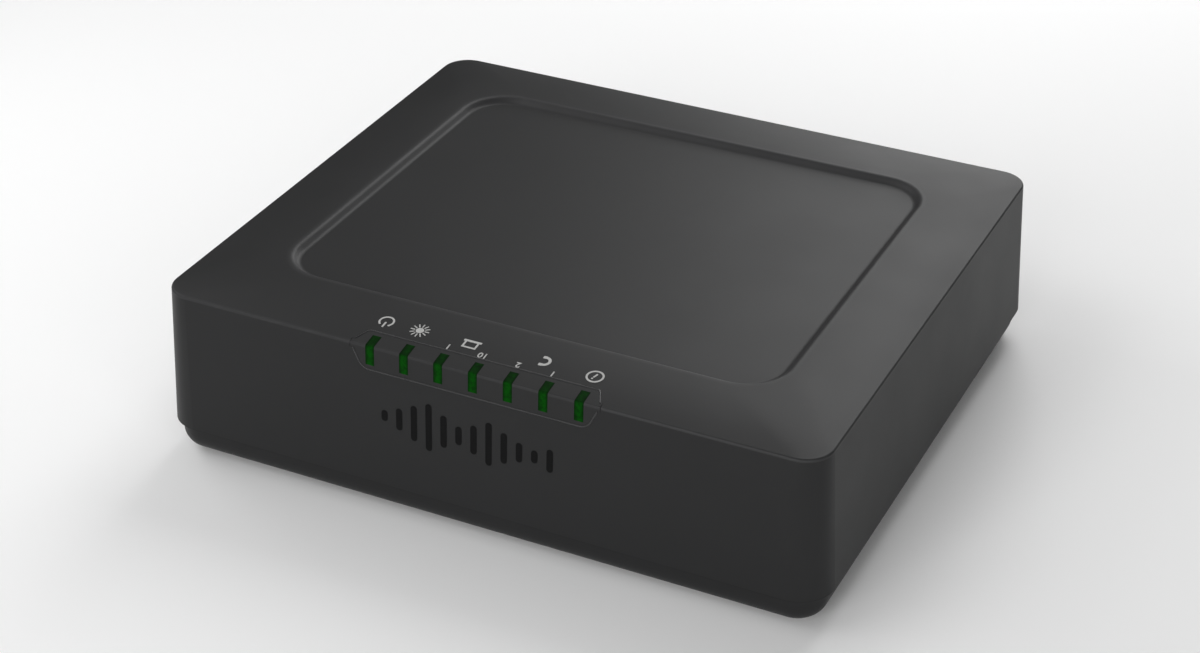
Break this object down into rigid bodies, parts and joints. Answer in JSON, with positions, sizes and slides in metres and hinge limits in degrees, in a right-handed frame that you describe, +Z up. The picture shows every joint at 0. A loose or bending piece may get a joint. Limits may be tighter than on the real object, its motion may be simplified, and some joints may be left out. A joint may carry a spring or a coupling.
{
  "type": "optical network terminal",
  "caption": "Flat dark plastic network terminal with a recessed top panel, a strip of status lights over the front edge and rear sockets.",
  "frame": {"origin": "on the table plane under the middle of the case", "axes": "+Z up, the status lights face -Y, the sockets face +Y, +X is on the right as seen from the lights' side"},
  "size_m": [0.155, 0.135, 0.0425],
  "materials": {
    "case_plastic": "fine matt moulded texture",
    "strip_plastic": "satin moulded",
    "clear_guide": "smoked clear light pipe",
    "rubber": "matt",
    "label_film": "blank film",
    "screw_steel": "zinc plated",
    "board_green": "solder mask",
    "light_chip": "light emitting chip",
    "black_plastic": "moulded",
    "contact_gold": "plated spring wire",
    "shield_tin": "tin plated sheet",
    "adapter_green": "moulded",
    "sleeve_white": "polished ceramic",
    "optics_metal": "cast",
    "cap_plastic": "soft moulded",
    "chip_black": "moulded package",
    "pad_grey": "soft pad",
    "sink_aluminium": "extruded",
    "pin_white": "moulded",
    "coil_grey": "ferrite",
    "crystal_can": "sealed can",
    "capacitor_sleeve": "shrink sleeve",
    "ceramic_part": "fired"
  },
  "bodies": {
    "case": {"top_cover": "case_plastic", "light_strip": "strip_plastic", "light_guide": "clear_guide", "base_tray": "case_plastic", "rear_panel": "case_plastic", "rubber_feet": "rubber", "blank_label": "label_film", "case_screws": "screw_steel", "main_board": "board_green", "board_screws": "screw_steel", "status_lights": "light_chip", "light_baffle": "black_plastic", "lan_body": "black_plastic", "lan_contacts": "contact_gold", "lan_shield": "shield_tin", "fast_lan_body": "black_plastic", "fast_lan_contacts": "contact_gold", "fast_lan_shield": "shield_tin", "phone_1_body": "black_plastic", "phone_2_body": "black_plastic", "phone_contacts": "contact_gold", "fibre_adapter": "adapter_green", "ferrule_sleeve": "sleeve_white", "fibre_transceiver": "optics_metal", "optics_shield": "shield_tin", "power_pin": "contact_gold", "power_socket_body": "black_plastic", "power_switch_body": "black_plastic", "reset_switch_body": "black_plastic", "processor": "chip_black", "thermal_pad": "pad_grey", "heat_sink": "sink_aluminium", "heat_sink_pins": "pin_white", "memory_chips": "chip_black", "flash_chip": "chip_black", "network_chip": "chip_black", "line_transformers": "chip_black", "phone_line_chip": "chip_black", "phone_transformers": "coil_grey", "power_inductors": "coil_grey", "power_chips": "chip_black", "clock_crystals": "crystal_can", "capacitors": "capacitor_sleeve", "surface_parts": "ceramic_part"},
    "power_button": {"power_button": "black_plastic"},
    "reset_button": {"reset_button": "pin_white"},
    "fibre_dust_cap": {"fibre_dust_cap": "cap_plastic"}
  },
  "joints": [
    {"name": "power_button_push", "type": "slide", "parent": "case", "child": "power_button", "axis": [0, -1, 0], "range_m": [0, 0.002], "stiffness_N_per_m": 800, "springref_m": -0.001},
    {"name": "reset_button_push", "type": "slide", "parent": "case", "child": "reset_button", "axis": [0, -1, 0], "range_m": [0, 0.0004], "stiffness_N_per_m": 2500, "springref_m": -0.0004},
    {"name": "dust_cap_pull", "type": "slide", "parent": "case", "child": "fibre_dust_cap", "axis": [0, 1, 0], "range_m": [0, 0.03]}
  ]
}
